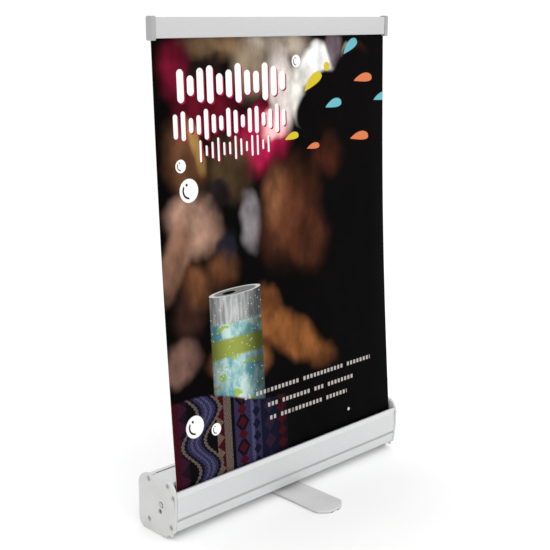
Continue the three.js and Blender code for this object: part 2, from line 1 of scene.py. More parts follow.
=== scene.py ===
# Desktop roll-up banner stand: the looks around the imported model.
# Lengths are metres in the model's own frame: Z up, the ground at Z = 0, -Y the side the banner is read from.
# The printed sheet's artwork is laid out in millimetres: x from the middle, h up from the cassette's mouth.
import json
import math

import bmesh
import bpy
from mathutils import Matrix, Vector

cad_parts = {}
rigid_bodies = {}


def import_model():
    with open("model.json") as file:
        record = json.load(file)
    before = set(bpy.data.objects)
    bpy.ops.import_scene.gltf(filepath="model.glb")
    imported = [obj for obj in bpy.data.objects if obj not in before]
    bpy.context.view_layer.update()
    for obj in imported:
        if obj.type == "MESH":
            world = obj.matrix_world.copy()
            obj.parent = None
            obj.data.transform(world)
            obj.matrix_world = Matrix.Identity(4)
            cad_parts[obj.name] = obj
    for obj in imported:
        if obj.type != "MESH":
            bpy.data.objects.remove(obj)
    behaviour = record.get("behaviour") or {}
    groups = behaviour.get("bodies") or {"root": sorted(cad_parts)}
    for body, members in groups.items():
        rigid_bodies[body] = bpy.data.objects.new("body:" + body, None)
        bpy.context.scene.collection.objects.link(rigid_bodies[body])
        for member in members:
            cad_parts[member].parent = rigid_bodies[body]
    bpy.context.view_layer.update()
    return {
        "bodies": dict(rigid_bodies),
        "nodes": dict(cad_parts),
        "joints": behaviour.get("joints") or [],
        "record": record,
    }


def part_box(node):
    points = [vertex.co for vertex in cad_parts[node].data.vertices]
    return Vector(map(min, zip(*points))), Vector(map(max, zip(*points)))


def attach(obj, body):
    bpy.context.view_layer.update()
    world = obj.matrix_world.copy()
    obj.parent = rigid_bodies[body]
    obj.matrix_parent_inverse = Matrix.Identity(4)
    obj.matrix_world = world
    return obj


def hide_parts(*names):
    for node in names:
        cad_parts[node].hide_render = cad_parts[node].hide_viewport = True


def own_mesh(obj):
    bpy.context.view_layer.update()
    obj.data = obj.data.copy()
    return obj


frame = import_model()
nodes = frame["nodes"]
scene = bpy.context.scene

MM = 0.001
LEFT, RIGHT = -1, 1

# ------------------------------------------------------------------ camera

CAMERA_AT = Vector((-0.7020, -0.7107, 0.4683))
CAMERA_HEADING = math.radians(44.48)  # from +Y towards +X
CAMERA_DIP = math.radians(14.03)
CAMERA_TILT = math.radians(0.29)
CAMERA_LENS = 69.4
CAMERA_SENSOR = 36


def make_camera():
    camera = bpy.data.objects.new("camera", bpy.data.cameras.new("camera"))
    scene.collection.objects.link(camera)
    camera.data.sensor_width = CAMERA_SENSOR
    camera.data.lens = CAMERA_LENS
    camera.data.clip_start = 0.01
    camera.data.clip_end = 200
    heading = Matrix.Rotation(-CAMERA_HEADING, 4, "Z")
    dip = Matrix.Rotation(math.pi / 2 - CAMERA_DIP, 4, "X")
    tilt = Matrix.Rotation(CAMERA_TILT, 4, "Z")
    camera.matrix_world = Matrix.Translation(CAMERA_AT) @ heading @ dip @ tilt
    scene.camera = camera


make_camera()

# ------------------------------------------------------------------ node trees


def is_colour(socket):
    return hasattr(socket.default_value, "__len__") and len(socket.default_value) == 4


def feed(tree, socket, value):
    """Puts a value on a socket: another node's output, a number, or a colour."""
    if isinstance(value, Signal):
        tree.links.new(value.socket, socket)
    elif is_colour(socket):
        socket.default_value = (*value, 1)
    else:
        socket.default_value = value


class Signal:
    """A value that varies over a surface. Arithmetic on it adds Math nodes to the material's tree."""

    def __init__(self, tree, socket):
        self.tree = tree
        self.socket = socket

    def math(self, operation, *others):
        node = self.tree.nodes.new("ShaderNodeMath")
        node.operation = operation
        for socket, value in zip(node.inputs, (self, *others)):
            feed(self.tree, socket, value)
        return Signal(self.tree, node.outputs[0])

    def __add__(self, other):
        return self.math("ADD", other)

    def __sub__(self, other):
        return self.math("SUBTRACT", other)

    def __mul__(self, other):
        return self.math("MULTIPLY", other)

    def __truediv__(self, other):
        return self.math("DIVIDE", other)

    def __abs__(self):
        return self.math("ABSOLUTE")

    def flipped(self):
        """1 minus the value."""
        return self.math("MULTIPLY_ADD", -1.0, 1.0)

    def most(self, other):
        return self.math("MAXIMUM", other)

    def below(self, edge, soft):
        """1 where the value is under edge, 0 above it, with a soft step between."""
        return self.ramp(edge - soft, edge + soft, 1, 0)

    def above(self, edge, soft):
        """0 where the value is under edge, 1 above it, with a soft step between."""
        return self.ramp(edge - soft, edge + soft, 0, 1)

    def ramp(self, low, high, at_low, at_high):
        """Runs smoothly from one value at low to another at high, and stays level beyond them."""
        node = self.tree.nodes.new("ShaderNodeMapRange")
        node.interpolation_type = "SMOOTHSTEP"
        names = ("Value", "From Min", "From Max", "To Min", "To Max")
        for name, value in zip(names, (self, low, high, at_low, at_high)):
            feed(self.tree, node.inputs[name], value)
        return Signal(self.tree, node.outputs["Result"])


class Finish:
    """A material with one Principled shader, and short ways to add patterns to it."""

    def __init__(self, name, roughness, metallic=0.0, specular=0.5):
        self.material = bpy.data.materials.new(name)
        self.material.use_nodes = True
        self.tree = self.material.node_tree
        self.shader = self.tree.nodes["Principled BSDF"]
        self.set("Roughness", roughness)
        self.set("Metallic", metallic)
        self.set("Specular IOR Level", specular)

    def set(self, name, value):
        feed(self.tree, self.shader.inputs[name], value)

    def place(self, other=None):
        """Position in metres, in the piece's own frame or in another object's."""
        node = self.tree.nodes.new("ShaderNodeTexCoord")
        node.object = other
        return Signal(self.tree, node.outputs["Object"])

    def parts(self, vector):
        """The vector's three parts."""
        node = self.tree.nodes.new("ShaderNodeSeparateXYZ")
        feed(self.tree, node.inputs[0], vector)
        return [Signal(self.tree, out) for out in node.outputs]

    def join(self, x, y):
        """A vector from its first two parts."""
        node = self.tree.nodes.new("ShaderNodeCombineXYZ")
        for socket, value in zip(node.inputs, (x, y)):
            feed(self.tree, socket, value)
        return Signal(self.tree, node.outputs[0])

    def local(self, vector, at, size=(1, 1, 1), turn=0.0):
        """The vector seen from a frame at a place, turned about Z and scaled to a size."""
        node = self.tree.nodes.new("ShaderNodeMapping")
        node.vector_type = "TEXTURE"
        feed(self.tree, node.inputs["Vector"], vector)
        node.inputs["Location"].default_value = at
        node.inputs["Rotation"].default_value = (0, 0, math.radians(turn))
        node.inputs["Scale"].default_value = size
        return Signal(self.tree, node.outputs[0])

    def length(self, vector):
        """How long the vector is."""
        node = self.tree.nodes.new("ShaderNodeVectorMath")
        node.operation = "LENGTH"
        feed(self.tree, node.inputs[0], vector)
        return Signal(self.tree, node.outputs["Value"])

    def noise(self, vector, scale, stretch=(1, 1, 1), detail=2.0):
        """Soft blotches from 0 to 1, drawn out along the axes by the stretch."""
        node = self.tree.nodes.new("ShaderNodeTexNoise")
        feed(self.tree, node.inputs["Vector"], self.local(vector, (0, 0, 0), stretch))
        node.inputs["Scale"].default_value = scale
        node.inputs["Detail"].default_value = detail
        return Signal(self.tree, node.outputs["Fac"])

    def cells(self, vector, scale):
        """The distance from the nearest of many scattered points."""
        node = self.tree.nodes.new("ShaderNodeTexVoronoi")
        feed(self.tree, node.inputs["Vector"], vector)
        node.inputs["Scale"].default_value = scale
        return Signal(self.tree, node.outputs["Distance"])

    def mix(self, share, below, above, blend="MIX"):
        """The colour below with a share from 0 to 1 of the colour above laid on it."""
        node = self.tree.nodes.new("ShaderNodeMix")
        node.data_type = "RGBA"
        node.blend_type = blend
        factor, a, b = node.inputs[0], node.inputs[6], node.inputs[7]  # a Mix node's sockets for colours
        for socket, value in zip((factor, a, b), (share, below, above)):
            feed(self.tree, socket, value)
        return Signal(self.tree, node.outputs[2])

    def bump(self, height, depth):
        """Relief on the surface, its depth in metres."""
        node = self.tree.nodes.new("ShaderNodeBump")
        node.inputs["Distance"].default_value = depth
        feed(self.tree, node.inputs["Height"], height)
        self.set("Normal", Signal(self.tree, node.outputs[0]))


# ------------------------------------------------------------------ finishes
# Noise scales count blotches to a metre. Colours are linear red, green and blue.

# The line along the cassette's front, darkened with painted shade
GROOVE_HEIGHT = 20.8 * MM
GROOVE_WIDTH = 2.6 * MM
GROOVE_FRONT = -26.0 * MM  # it and the face round it lie in front of this
# Painted shade: the darker grey laid in the groove
GROOVE_PAINTED_SHADE = (0.46, 0.46, 0.465)


def drawn_metal(name, light, dark, roughness, along, metallic=0.6):
    """Anodised metal: very fine drawing lines along one axis, faint clouding and a little handling grime.
    Returns the finish rather than its material, so that more can be laid on it."""
    finish = Finish(name, roughness, metallic)
    place = finish.place()
    stretch = [12 if axis == along else 1 for axis in "XYZ"]
    lines = finish.noise(place, 2600, stretch)
    clouds = finish.noise(place, 16, (3, 1, 1), detail=4)
    tone = finish.mix(lines.ramp(0.2, 0.8, 0, 1), dark, light)
    grime = clouds.ramp(0.5, 0.85, 0, 0.25)
    finish.set("Base Color", finish.mix(grime, tone, dark))
    finish.set("Roughness", lines.ramp(0.2, 0.8, roughness - 0.03, roughness + 0.03) + clouds * 0.08)
    finish.bump(lines, 0.006 * MM)
    return finish


def grooved_profile():
    """The cassette and rail metal, with painted shade that darkens the line along the cassette's front."""
    finish = drawn_metal("aluminium_profile", (0.68, 0.685, 0.69), (0.62, 0.625, 0.63), 0.5, "X")
    _, depth, height = finish.parts(finish.place())
    # Painted shade: a darker grey laid along the groove, on the face in front of GROOVE_FRONT
    level_with_it = abs(height - GROOVE_HEIGHT).below(GROOVE_WIDTH / 2, 0.2 * MM)
    in_groove = level_with_it * depth.below(GROOVE_FRONT, 0.1 * MM)
    unshaded_metal = Signal(finish.tree, finish.shader.inputs["Base Color"].links[0].from_socket)
    finish.set("Base Color", finish.mix(in_groove, unshaded_metal, GROOVE_PAINTED_SHADE))
    return finish.material


def moulded_plastic(name, light, dark, roughness):
    """Moulded plastic: a fine spark-eroded grain, slow changes of tone and a few rubbed spots."""
    finish = Finish(name, roughness, 0.0, 0.35)
    place = finish.place()
    pits = finish.noise(place, 2600)
    clouds = finish.noise(place, 40, detail=4)
    tone = finish.mix(clouds.ramp(0.35, 0.7, 0, 1), light, dark)
    finish.set("Base Color", finish.mix(pits.ramp(0.3, 0.5, 0.3, 0), tone, dark))
    finish.set("Roughness", clouds.ramp(0.3, 0.75, roughness - 0.07, roughness + 0.07))
    finish.bump(pits, 0.06 * MM)
    return finish.material


def powder_coat(name, light, dark):
    """Powder-coated steel: orange peel under a satin skin, with faint scuffs along the plate."""
    finish = Finish(name, 0.42, 0.0, 0.4)
    place = finish.place()
    peel = finish.noise(place, 900)
    scuffs = finish.noise(place, 160, (1, 14, 1), detail=5)
    tone = finish.mix(finish.noise(place, 30, detail=3).ramp(0.35, 0.7, 0, 1), light, dark)
    finish.set("Base Color", finish.mix(scuffs.ramp(0.62, 0.72, 0, 0.5), tone, dark))
    finish.set("Roughness", scuffs.ramp(0.4, 0.75, 0.38, 0.55))
    finish.bump(peel, 0.09 * MM)
    return finish.material


def zinc(name, light, dark, roughness=0.32):
    """Zinc-plated steel: mottled crystals with brighter worn places."""
    finish = Finish(name, roughness, 0.95)
    place = finish.place()
    crystals = finish.cells(place, 1500)
    clouds = finish.noise(place, 220, detail=3)
    finish.set("Base Color", finish.mix(crystals.ramp(0.2, 0.7, 0, 1), light, dark))
    finish.set("Roughness", clouds.ramp(0.3, 0.7, roughness - 0.08, roughness + 0.12))
    finish.bump(clouds, 0.03 * MM)
    return finish.material


def rubber(name, light, dark):
    """Matt rubber with dust in its pores."""
    finish = Finish(name, 0.85, 0.0, 0.3)
    dust = finish.noise(finish.place(), 1200, detail=4)
    finish.set("Base Color", finish.mix(dust.ramp(0.45, 0.75, 0, 1), dark, light))
    finish.bump(dust, 0.08 * MM)
    return finish.material


def plain_film(name, light, dark):
    """The unprinted side of the polyester film: a fine cross weave under a dull coat."""
    finish = Finish(name, 0.55, 0.0, 0.25)
    place = finish.place()
    warp = finish.noise(place, 1500, (1, 1, 40), detail=1)
    weft = finish.noise(place, 1500, (40, 1, 1), detail=1)
    clouds = finish.noise(place, 9, (1, 1, 2), detail=3)
    tone = finish.mix(clouds.ramp(0.3, 0.7, 0, 1), light, dark)
    weave = (warp + weft) * 0.5
    finish.set("Base Color", finish.mix(weave.ramp(0.4, 0.6, 0.35, 0), tone, dark))
    finish.set("Roughness", clouds.ramp(0.3, 0.7, 0.5, 0.62))
    finish.bump(weave, 0.05 * MM)
    return finish.material


# ------------------------------------------------------------------ artwork on the sheet

PRINT_IOR = 1.08  # low, so that the dark inks keep their depth under the studio's light
INK_BASE = (0.0010, 0.0006, 0.0006)
WHITE_INK = (0.86, 0.84, 0.83)
CRIMSON_INK = (0.33, 0.01, 0.045)
SMALL_PRINT_INK = (0.50, 0.46, 0.44)
SPECK_INK = (0.6, 0.6, 0.6)
TEAL = (0.14, 0.42, 0.49)
YELLOW = (0.58, 0.46, 0.03)
CORAL = (0.63, 0.18, 0.075)

# Out-of-focus lights and shapes behind everything:
# x, h, half width, half height, turn, colour, softness from 0 (crisp) to 1
GLOWS = [
    (-122, 372, 24, 40, 10, (0.13, 0.004, 0.018), 0.8),
    (-66, 400, 62, 20, 0, (0.17, 0.10, 0.055), 0.7),
    (-92, 374, 24, 16, 10, (0.010, 0.005, 0.004), 0.6),
    (-34, 374, 34, 34, 20, (0.26, 0.19, 0.13), 0.8),
    (-2, 398, 52, 22, -8, (0.36, 0.30, 0.24), 0.6),
    (3, 352, 21, 42, 4, (0.66, 0.58, 0.54), 0.5),
    (50, 374, 26, 24, 12, (0.86, 0.85, 0.82), 0.35),
    (30, 343, 20, 34, 16, (0.78, 0.75, 0.68), 0.45),
    (74, 388, 12, 26, 5, (0.16, 0.12, 0.14), 0.5),
    (91, 380, 8, 17, 6, (0.52, 0.46, 0.36), 0.4),
    (-26, 308, 42, 38, 15, (0.44, 0.010, 0.06), 0.8),
    (-12, 322, 20, 16, 20, (0.88, 0.44, 0.44), 0.6),
    (-88, 336, 46, 30, 0, (0.10, 0.003, 0.012), 0.8),
    (-118, 296, 26, 44, 14, (0.12, 0.050, 0.022), 0.8),
    (-106, 306, 8, 30, 14, (0.30, 0.17, 0.05), 0.6),
    (-66, 286, 38, 38, -10, (0.050, 0.030, 0.014), 0.7),
    (-84, 262, 18, 14, 20, (0.012, 0.008, 0.008), 0.6),
    (-112, 240, 40, 30, -32, (0.33, 0.19, 0.135), 0.6),
    (-134, 212, 18, 44, -22, (0.20, 0.10, 0.065), 0.5),
    (-44, 236, 17, 36, 8, (0.19, 0.17, 0.18), 0.6),
    (-72, 214, 14, 20, 0, (0.010, 0.010, 0.018), 0.5),
    (8, 236, 50, 64, -16, (0.105, 0.032, 0.014), 0.95),
    (-10, 256, 22, 34, -14, (0.19, 0.075, 0.032), 0.95),
    (36, 208, 34, 40, 10, (0.060, 0.018, 0.008), 0.95),
    (62, 286, 30, 26, 30, (0.055, 0.014, 0.007), 0.95),
    (104, 384, 26, 12, -10, (0.045, 0.012, 0.008), 0.8),
    (56, 336, 42, 30, 40, (0.0015, 0.0008, 0.0008), 0.25),
    (96, 356, 46, 34, 20, (0.0012, 0.0006, 0.0006), 0.3),
    (118, 318, 40, 44, 0, (0.0012, 0.0006, 0.0006), 0.4),
    (-134, 118, 26, 24, 6, (0.16, 0.085, 0.066), 0.6),
    (-122, 160, 24, 30, 0, (0.030, 0.012, 0.008), 0.7),
    (-2, 120, 84, 24, -32, (0.20, 0.070, 0.020), 0.6),
    (-64, 106, 46, 22, -8, (0.25, 0.095, 0.030), 0.6),
    (-26, 158, 26, 16, -40, (0.15, 0.050, 0.016), 0.7),
    (-112, 186, 30, 24, -50, (0.15, 0.058, 0.024), 0.95),
    (-78, 196, 26, 22, -50, (0.13, 0.050, 0.020), 0.95),
]
GLOW_WANDER = 26  # how far their outlines stray
# Coloured drops, each with its point lower left: x and h of the middle, length, width, turn, ink
DROPS = [
    (98, 390, 24, 9.5, 34, TEAL),
    (44, 358, 29, 10.5, 34, YELLOW),
    (117, 358.5, 28, 8.8, 5, CORAL),
    (73, 335.5, 24, 8.8, 10, TEAL),
    (145, 338.5, 24, 8, 8, TEAL),
    (14, 308, 19, 7, 11, YELLOW),
    (43, 296.5, 18, 6, 6, CORAL),
    (111, 301, 28, 8.8, 2, CORAL),
]
DROP_BEND = 0.22  # how far the body bows, as a share of its length
DROP_SHIFT = 0.03  # sets the bowed body back on its axis
DROP_FULLNESS = 1.3
# Plain discs: x, h, radius, softness of the edge, ink
DISCS = [(64, 372, 4.2, 0.25, YELLOW), (84, 20, 1.6, 0.6, SPECK_INK)]
# White bubbles: x, h, radius
BUBBLES = [(-123, 293, 5.8), (-115, 271, 10.5), (22, 378, 5.8), (-123, 57, 10.5), (-98, 48, 5.8)]
# The mark inside a bubble, as shares of its radius: a crescent's radius, half width, lean and end,
# and a dot's side, rise and radius
CRESCENT = (0.62, 0.085, 0.55, -0.32)
BUBBLE_DOT = (-0.22, 0.5, 0.12)
# Rows of upright bars, like a sound wave, where a heading would be:
# left end, middle height, pitch, number, width, height, and how far the heights vary
HEADING_ROWS = [
    (-125, 361, 11.15, 12, 7.4, 26, 0.34),
    (-131, 327, 8.7, 16, 4.8, 19, 0.40),
    (-103, 304, 6.9, 13, 2.2, 15, 0.42),
]
BAR_STEP = 1.9  # radians of the sway from one bar to the next
SHADOW_SHIFT = (1.5, -1.3)
# Lines of small print drawn as dashes: left end, right end, height
SMALL_ROWS = [(-62, 120, 68.5), (-37, 98, 54), (-30, 82, 40.5)]
SMALL_PITCH = 5.0
DASH_HALF = 0.30  # half a dash, as a share of the pitch
DASH_HALF_HEIGHT = 2.0
WORD_STEP = 0.77  # a dash is left out wherever the fraction of its number times this is lowest
WORD_GAPS = 0.12  # share of the dashes left out
# A plain drinks can
CAN_X = -66
CAN_FOOT = 60
CAN_TOP = 173
CAN_HALF = 32  # half its width
CAN_ROUND = 3.4  # how much its round ends rise
CAN_METAL = 26  # how far the bare metal comes down from the top
CAN_BELT = (121, 9)  # middle and half height of its lime belt
CAN_OPENING = (-74, 172.7, 8, 1.3)  # x, h, half width and half height of the hole in its lid
CAN_TEAL = (0.10, 0.30, 0.34)
CAN_PALE = (0.50, 0.66, 0.62)
CAN_LEAF = (0.30, 0.40, 0.03)
CAN_LIME = (0.26, 0.31, 0.06)
CAN_METAL_DARK = (0.24, 0.25, 0.25)
CAN_METAL_LIGHT = (0.52, 0.53, 0.52)
CAN_RIM = (0.50, 0.50, 0.49)
CAN_LID = (0.16, 0.16, 0.16)
CAN_DEW = (0.9, 0.95, 0.95)
# A woven cloth along the foot of the picture, and its yarns
MAROON = (0.040, 0.003, 0.006)
PLUM = (0.010, 0.004, 0.010)
BEIGE = (0.105, 0.080, 0.066)
NAVY = (0.005, 0.006, 0.020)
VIOLET = (0.028, 0.022, 0.062)
SLATE = (0.055, 0.060, 0.12)
JET = (0.002, 0.002, 0.003)
# Its upright bands, each reaching to the next: left edge, yarn
CLOTH_BANDS = [
    (-150, MAROON),
    (-142, PLUM),
    (-132, JET),
    (-97, MAROON),
    (-88, BEIGE),
    (-79, JET),
    (-75, VIOLET),
    (-54, SLATE),
    (-50, VIOLET),
    (-41, NAVY),
    (-20, PLUM),
    (-6, JET),
]
# Its columns of triangles: left, right, period, yarn
CLOTH_TRIANGLES = [(-142, -131, 17, (0.030, 0.006, 0.018)), (-97, -88, 15, (0.12, 0.075, 0.058))]
# Its columns of diamonds: middle, rise, half width, period, yarn
CLOTH_DIAMONDS = [
    (-65, 4, 9.5, 25, (0.005, 0.003, 0.006)),
    (-65, 4, 6.5, 12.5, (0.050, 0.004, 0.008)),
    (-47, 10, 5.5, 12.5, NAVY),
    (-30, 0, 8, 18, (0.020, 0.010, 0.026)),
    (-13, 0, 7, 12, (0.042, 0.005, 0.008)),
]
# The ribbon that winds up it, from its edge in: half width, yarn
CLOTH_RIBBON = [(15, BEIGE), (11.6, JET), (10.2, NAVY), (8.0, VIOLET), (4.4, SLATE), (1.6, VIOLET)]
RIBBON_MIDDLE = -115
RIBBON_SWAY = 9.5
RIBBON_WAVE = 0.115  # radians for each millimetre up
RIBBON_TOOTH = 3.4
RIBBON_TOOTH_DEPTH = 1.4
# Its upper edge, which slopes and waves, and the stretch over which it fades to the right
CLOTH_TOP = 60
CLOTH_SLOPE = -0.17
CLOTH_WAVE = 0.045  # radians for each millimetre along
CLOTH_WAVE_HEIGHT = 4
CLOTH_FADE = (-30, 34)


def glow(ink, picture, spot, item):
    """A soft-edged oval of one colour."""
    x, h, half_width, half_height, turn, colour, softness = item
    away = ink.length(ink.local(spot, (x, h, 0), (half_width, half_height, 1), turn))
    return ink.mix(away.ramp(1.05 - softness, 1.05, 1, 0), picture, colour)


def drop_mask(ink, spot, x, h, length, width, turn):
    """A drop with its point at the left of its own axis and a round, slightly bent body."""
    along, across, _ = ink.parts(ink.local(spot, (x, h, 0), (length, length, 1), turn))
    along = along + 0.5
    body = (along * along.flipped().most(0.0).math("SQRT")).most(0.0)
    bend = along * along.flipped() * DROP_BEND
    outside = abs(across - bend + DROP_SHIFT) - body * (DROP_FULLNESS * width / length)
    return outside.below(0.0, 0.012) * along.above(0.02, 0.01) * along.below(0.98, 0.01)


def bubble(ink, picture, spot, x, h, radius):
    """A white disc with a dark crescent and a dot at its left, as a sparkling bubble is drawn."""
    place = ink.local(spot, (x, h, 0), (radius, radius, 1))
    side, rise, _ = ink.parts(place)
    away = ink.length(place)
    picture = ink.mix(away.below(1.0, 0.04), picture, WHITE_INK)
    reach, half_width, lean, end = CRESCENT
    ring = abs(away - reach).below(half_width, 0.03)
    crescent = ring * (side + rise * lean).below(end, 0.05)
    dot_side, dot_rise, dot_radius = BUBBLE_DOT
    dot = ink.length(ink.local(place, (dot_side, dot_rise, 0))).below(dot_radius, 0.03)
    return ink.mix(crescent.most(dot), picture, INK_BASE)


def disc(ink, picture, spot, x, h, radius, soft, colour):
    """A plain disc of one ink."""
    away = ink.length(ink.local(spot, (x, h, 0)))
    return ink.mix(away.below(radius, soft), picture, colour)


def bars(ink, x, h, row):
    """Round-ended upright bars of changing height."""
    left, middle, pitch, count, width, height, sway = row
    step = (x - left) / pitch
    index = step.math("FLOOR")
    half = ((index * BAR_STEP + middle).math("SINE") * sway + 1.0) * (height / 2)
    across = abs(step - index - 0.5) * pitch
    up = (abs(h - middle) - half + width / 2).most(0.0)
    outside = ink.length(ink.join(across, up)) - width / 2
    return outside.below(0.0, 0.2) * step.above(0.0, 0.01) * step.below(count, 0.01)


def heading_row(ink, picture, x, h, row):
    """White bars over a crimson copy that is shifted like a shadow."""
    shift_x, shift_h = SHADOW_SHIFT
    picture = ink.mix(bars(ink, x - shift_x, h - shift_h, row), picture, CRIMSON_INK)
    return ink.mix(bars(ink, x, h, row), picture, WHITE_INK)


def small_row(ink, picture, x, h, left, right, middle):
    """Dashes of one length, with a gap now and then as between words."""
    step = (x - left) / SMALL_PITCH
    index = step.math("FLOOR")
    dash = abs(step - index - 0.5).below(DASH_HALF, 0.05)
    gap = (index * WORD_STEP + middle).math("FRACT").above(WORD_GAPS, 0.01)
    inside_row = x.above(left, 0.3) * x.below(right, 0.3) * abs(h - middle).below(DASH_HALF_HEIGHT, 0.3)
    return ink.mix(dash * gap * inside_row * 0.85, picture, SMALL_PRINT_INK)


def zigzag(h, period):
    """Rises from 0 to 1 and falls again with each period."""
    return (h / period).math("PINGPONG", 0.5) * 2.0


def triangles(x, h, left, right, period):
    """Points of a woven band that grow from left to right."""
    across = (x - left) / (right - left)
    inside = x.above(left, 0.2) * x.below(right, 0.2)
    return (zigzag(h, period) - across).above(0.0, 0.05) * inside


def diamonds(x, h, middle, rise, half_width, period):
    """A column of diamonds that all but touch."""
    across = abs(x - middle) / half_width
    return (across + zigzag(h + rise, period)).below(0.92, 0.06)


def ribbon(ink, weave, x, h):
    """A ribbon of several yarns with toothed edges, winding up the cloth."""
    middle = (h * RIBBON_WAVE).math("SINE") * RIBBON_SWAY + RIBBON_MIDDLE
    tooth = zigzag(h, RIBBON_TOOTH) * RIBBON_TOOTH_DEPTH
    away = abs(x - middle + tooth)
    for half_width, yarn in CLOTH_RIBBON:
        weave = ink.mix(away.below(half_width, 0.5), weave, yarn)
    return weave


def cloth(ink, picture, x, h, spot):
    """A woven cloth with upright bands, lying along the foot of the picture."""
    weave = JET
    for left, yarn in CLOTH_BANDS:
        weave = ink.mix(x.above(left, 0.4), weave, yarn)
    for *shape, yarn in CLOTH_TRIANGLES:
        weave = ink.mix(triangles(x, h, *shape), weave, yarn)
    for *shape, yarn in CLOTH_DIAMONDS:
        weave = ink.mix(diamonds(x, h, *shape), weave, yarn)
    weave = ribbon(ink, weave, x, h)
    stitches = ink.noise(spot, 0.9, (1, 0.6, 1), detail=3)
    loops = (x * 2.1).math("SINE") * (h * 1.5).math("SINE")
    shade = stitches.ramp(0.3, 0.7, 0.35, 1.5) * (loops * 0.3 + 0.95)
    woven = ink.mix(1.0, weave, shade, "MULTIPLY")
    top = (x * CLOTH_WAVE).math("SINE") * CLOTH_WAVE_HEIGHT + (x * CLOTH_SLOPE) + CLOTH_TOP
    fade = x.ramp(*CLOTH_FADE, 1, 0)
    return ink.mix((h - top).below(0.0, 1.5) * fade, picture, woven)


def can_wrap(ink, flat, h):
    """Mottled teal with lime leaves and a lime belt."""
    mottle = ink.noise(flat, 0.07, (1, 1.6, 1), detail=4)
    leaf = ink.noise(flat, 0.11, (1.8, 1, 1), detail=3)
    wrap = ink.mix(mottle.ramp(0.38, 0.62, 0, 1), CAN_TEAL, CAN_PALE)
    wrap = ink.mix(leaf.ramp(0.56, 0.64, 0, 0.9), wrap, CAN_LEAF)
    belt, belt_half = CAN_BELT
    return ink.mix(abs(h - belt).below(belt_half, 2), wrap, CAN_LIME)


def can_lid(ink, picture, flat):
    """The rim, the lid inside it, and its opening, all flattened circles."""
    lid = ink.length(ink.local(flat, (CAN_X, CAN_TOP, 0), (CAN_HALF, CAN_ROUND, 1)))
    picture = ink.mix(lid.below(1.0, 0.02), picture, CAN_RIM)
    picture = ink.mix(lid.below(0.82, 0.05), picture, CAN_LID)
    x, h, half_width, half_height = CAN_OPENING
    opening = ink.length(ink.local(flat, (x, h, 0), (half_width, half_height, 1)))
    return ink.mix(opening.below(1.0, 0.08), picture, INK_BASE)


def drinks_can(ink, picture, x, h):
    """A plain can with a patterned wrap, no lettering, seen a little from above."""
    across = (x - CAN_X) / CAN_HALF
    shade = abs(across + 0.15).ramp(0.1, 1.05, 1.0, 0.16)
    curve = (across * across).flipped().most(0.0).math("SQRT") * CAN_ROUND
    flat = ink.join(x, h)
    streaks = ink.noise(flat, 0.3, (1, 8, 1))
    metal = ink.mix(streaks.ramp(0.3, 0.7, 0, 1), CAN_METAL_DARK, CAN_METAL_LIGHT)
    body = ink.mix((h + curve).above(CAN_TOP - CAN_METAL, 1.0), can_wrap(ink, flat, h), metal)
    body = ink.mix(1.0, body, shade, "MULTIPLY")
    dew = ink.cells(flat, 0.22).below(0.16, 0.05)
    body = ink.mix(dew * 0.3, body, CAN_DEW)
    side = abs(across).below(1.0, 0.02)
    outline = side * (h + curve).above(CAN_FOOT, 0.6) * (h - curve).below(CAN_TOP, 0.6)
    return can_lid(ink, ink.mix(outline, picture, body), flat)


def background(ink, x, h, flat):
    """Soft out-of-focus colours, with their outlines strayed and their tones clouded."""
    drift = ink.noise(flat, 0.018) - 0.5
    wander = ink.noise(flat, 0.03) - 0.5
    blurred = ink.join(x + drift * GLOW_WANDER, h + wander * GLOW_WANDER)
    picture = INK_BASE
    for item in GLOWS:
        picture = glow(ink, picture, blurred, item)
    haze = ink.noise(flat, 0.05, (1, 1.7, 1), detail=5)
    return ink.mix(1.0, picture, haze.ramp(0.3, 0.72, 0.6, 1.3), "MULTIPLY")


def printed_film(sheet_foot):
    """The front of the sheet. The artwork hangs from the rail, so it goes down into the cassette with it."""
    ink = Finish("print_face", 0.42)
    ink.set("IOR", PRINT_IOR)
    x, _, up = ink.parts(ink.place(frame["bodies"]["rail"]))
    x = x / MM
    h = (up - sheet_foot) / MM
    flat = ink.join(x, h)
    picture = background(ink, x, h, flat)
    picture = drinks_can(ink, picture, x, h)
    picture = cloth(ink, picture, x, h, flat)
    for *shape, colour in DROPS:
        picture = ink.mix(drop_mask(ink, flat, *shape), picture, colour)
    for item in DISCS:
        picture = disc(ink, picture, flat, *item)
    for row in HEADING_ROWS:
        picture = heading_row(ink, picture, x, h, row)
    for row in SMALL_ROWS:
        picture = small_row(ink, picture, x, h, *row)
    for item in BUBBLES:
        picture = bubble(ink, picture, flat, *item)
    grain = ink.noise(flat, 2.2)
    ink.set("Base Color", ink.mix(1.0, picture, grain.ramp(0.3, 0.7, 0.9, 1.08), "MULTIPLY"))
    ink.set("Roughness", grain.ramp(0.3, 0.7, 0.38, 0.5))
    ink.bump(grain, 0.02 * MM)
    return ink.material


sheet_low, sheet_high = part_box("banner_sheet")

POLE_LIGHT, POLE_DARK = (0.60, 0.61, 0.62), (0.52, 0.53, 0.54)

